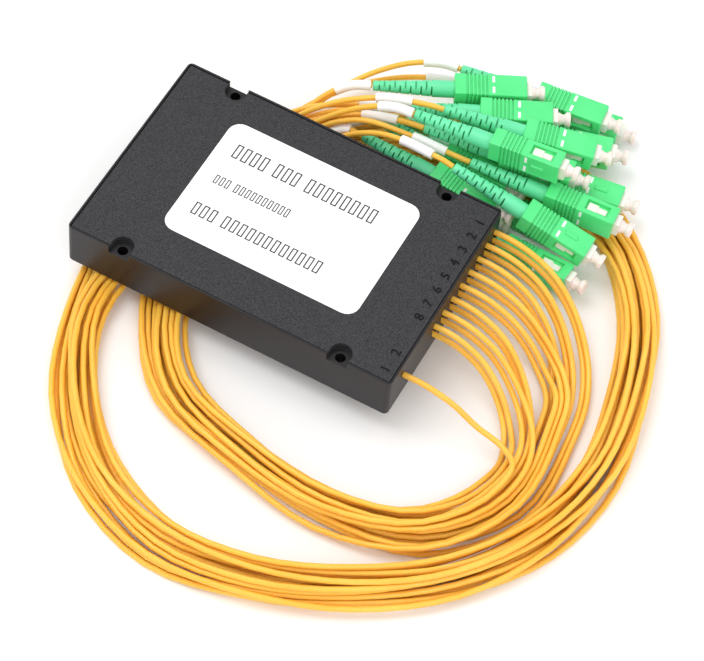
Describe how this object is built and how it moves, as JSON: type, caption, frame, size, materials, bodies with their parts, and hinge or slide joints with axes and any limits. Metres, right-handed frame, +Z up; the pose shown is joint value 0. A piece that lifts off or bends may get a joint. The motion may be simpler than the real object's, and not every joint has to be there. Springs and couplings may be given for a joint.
{
  "type": "fibre optic splitter",
  "caption": "Flat boxed fibre optic splitter with a white label, coiled yellow cables and green push-pull connectors with dust caps.",
  "frame": {"origin": "centre of the case's bounding box", "axes": "+X along the case towards the cable exits, +Y towards its back edge, +Z up through the lid"},
  "size_m": [0.1962, 0.2348, 0.0343],
  "materials": {
    "moulded_abs_charcoal": "smooth satin moulding",
    "grained_abs_charcoal": "fine spark-eroded grain",
    "label_vinyl_white": "semi-gloss film",
    "stainless_steel": "drawn tube",
    "foam_tape_grey": "closed-cell foam",
    "fibre_tube_clear": "thin extruded tube",
    "anchor_resin": "cast epoxy",
    "cable_jacket_yellow": "soft satin extruded jacket",
    "boot_green": "soft satin elastomer",
    "housing_green": "satin moulding"
  },
  "bodies": {
    "splitter": {"case_tray": "moulded_abs_charcoal", "case_lid": "grained_abs_charcoal", "label": "label_vinyl_white", "splitter_module": "stainless_steel", "module_pad": "foam_tape_grey", "fibre_fan": "fibre_tube_clear", "input_fibre_tube": "fibre_tube_clear", "output_anchor": "anchor_resin", "input_anchor": "anchor_resin", "cable_01": "cable_jacket_yellow", "cable_02": "cable_jacket_yellow", "cable_03": "cable_jacket_yellow", "cable_04": "cable_jacket_yellow", "cable_05": "cable_jacket_yellow", "cable_06": "cable_jacket_yellow", "cable_07": "cable_jacket_yellow", "cable_08": "cable_jacket_yellow", "cable_09": "cable_jacket_yellow", "cable_10": "cable_jacket_yellow", "cable_11": "cable_jacket_yellow", "cable_12": "cable_jacket_yellow", "cable_13": "cable_jacket_yellow", "cable_14": "cable_jacket_yellow", "cable_15": "cable_jacket_yellow", "cable_16": "cable_jacket_yellow", "cable_in": "cable_jacket_yellow", "connector_01": "boot_green", "connector_02": "boot_green", "connector_03": "boot_green", "connector_04": "boot_green", "connector_05": "boot_green", "connector_06": "boot_green", "connector_07": "boot_green", "connector_08": "boot_green", "connector_09": "boot_green", "connector_10": "boot_green", "connector_11": "boot_green", "connector_12": "boot_green", "connector_13": "boot_green", "connector_14": "boot_green", "connector_15": "boot_green", "connector_16": "boot_green", "connector_in": "boot_green"},
    "grip_01_body": {"grip_01": "housing_green"},
    "grip_02_body": {"grip_02": "housing_green"},
    "grip_03_body": {"grip_03": "housing_green"},
    "grip_04_body": {"grip_04": "housing_green"},
    "grip_05_body": {"grip_05": "housing_green"},
    "grip_06_body": {"grip_06": "housing_green"},
    "grip_07_body": {"grip_07": "housing_green"},
    "grip_08_body": {"grip_08": "housing_green"},
    "grip_09_body": {"grip_09": "housing_green"},
    "grip_10_body": {"grip_10": "housing_green"},
    "grip_11_body": {"grip_11": "housing_green"},
    "grip_12_body": {"grip_12": "housing_green"},
    "grip_13_body": {"grip_13": "housing_green"},
    "grip_14_body": {"grip_14": "housing_green"},
    "grip_15_body": {"grip_15": "housing_green"},
    "grip_16_body": {"grip_16": "housing_green"},
    "grip_in_body": {"grip_in": "housing_green"}
  },
  "joints": [
    {"name": "grip_01_slide", "type": "slide", "parent": "splitter", "child": "grip_01_body", "axis": [-0.9877, -0.1564, 0], "range_m": [0, 0.0012]},
    {"name": "grip_02_slide", "type": "slide", "parent": "splitter", "child": "grip_02_body", "axis": [-0.9945, -0.1045, 0], "range_m": [0, 0.0012]},
    {"name": "grip_03_slide", "type": "slide", "parent": "splitter", "child": "grip_03_body", "axis": [-0.8829, -0.4695, 0], "range_m": [0, 0.0012]},
    {"name": "grip_04_slide", "type": "slide", "parent": "splitter", "child": "grip_04_body", "axis": [-0.9697, -0.2418, -0.0349], "range_m": [0, 0.0012]},
    {"name": "grip_05_slide", "type": "slide", "parent": "splitter", "child": "grip_05_body", "axis": [-0.9903, -0.1392, 0], "range_m": [0, 0.0012]},
    {"name": "grip_06_slide", "type": "slide", "parent": "splitter", "child": "grip_06_body", "axis": [-0.981, -0.1907, -0.0349], "range_m": [0, 0.0012]},
    {"name": "grip_07_slide", "type": "slide", "parent": "splitter", "child": "grip_07_body", "axis": [-0.8988, -0.4384, 0], "range_m": [0, 0.0012]},
    {"name": "grip_08_slide", "type": "slide", "parent": "splitter", "child": "grip_08_body", "axis": [-0.9606, -0.2574, 0.1045], "range_m": [0, 0.0012]},
    {"name": "grip_09_slide", "type": "slide", "parent": "splitter", "child": "grip_09_body", "axis": [-0.9903, -0.1392, 0], "range_m": [0, 0.0012]},
    {"name": "grip_10_slide", "type": "slide", "parent": "splitter", "child": "grip_10_body", "axis": [-0.996, -0.0871, -0.0175], "range_m": [0, 0.0012]},
    {"name": "grip_11_slide", "type": "slide", "parent": "splitter", "child": "grip_11_body", "axis": [-0.997, -0.0697, 0.0349], "range_m": [0, 0.0012]},
    {"name": "grip_12_slide", "type": "slide", "parent": "splitter", "child": "grip_12_body", "axis": [-0.9986, 0.0523, 0], "range_m": [0, 0.0012]},
    {"name": "grip_13_slide", "type": "slide", "parent": "splitter", "child": "grip_13_body", "axis": [-0.9994, 0.0349, 0], "range_m": [0, 0.0012]},
    {"name": "grip_14_slide", "type": "slide", "parent": "splitter", "child": "grip_14_body", "axis": [-0.9744, 0, 0.225], "range_m": [0, 0.0012]},
    {"name": "grip_15_slide", "type": "slide", "parent": "splitter", "child": "grip_15_body", "axis": [-0.9985, 0.0174, 0.0523], "range_m": [0, 0.0012]},
    {"name": "grip_16_slide", "type": "slide", "parent": "splitter", "child": "grip_16_body", "axis": [-0.9951, 0.0696, -0.0698], "range_m": [0, 0.0012]},
    {"name": "grip_in_slide", "type": "slide", "parent": "splitter", "child": "grip_in_body", "axis": [-0.9976, 0.0698, 0], "range_m": [0, 0.0012]}
  ]
}
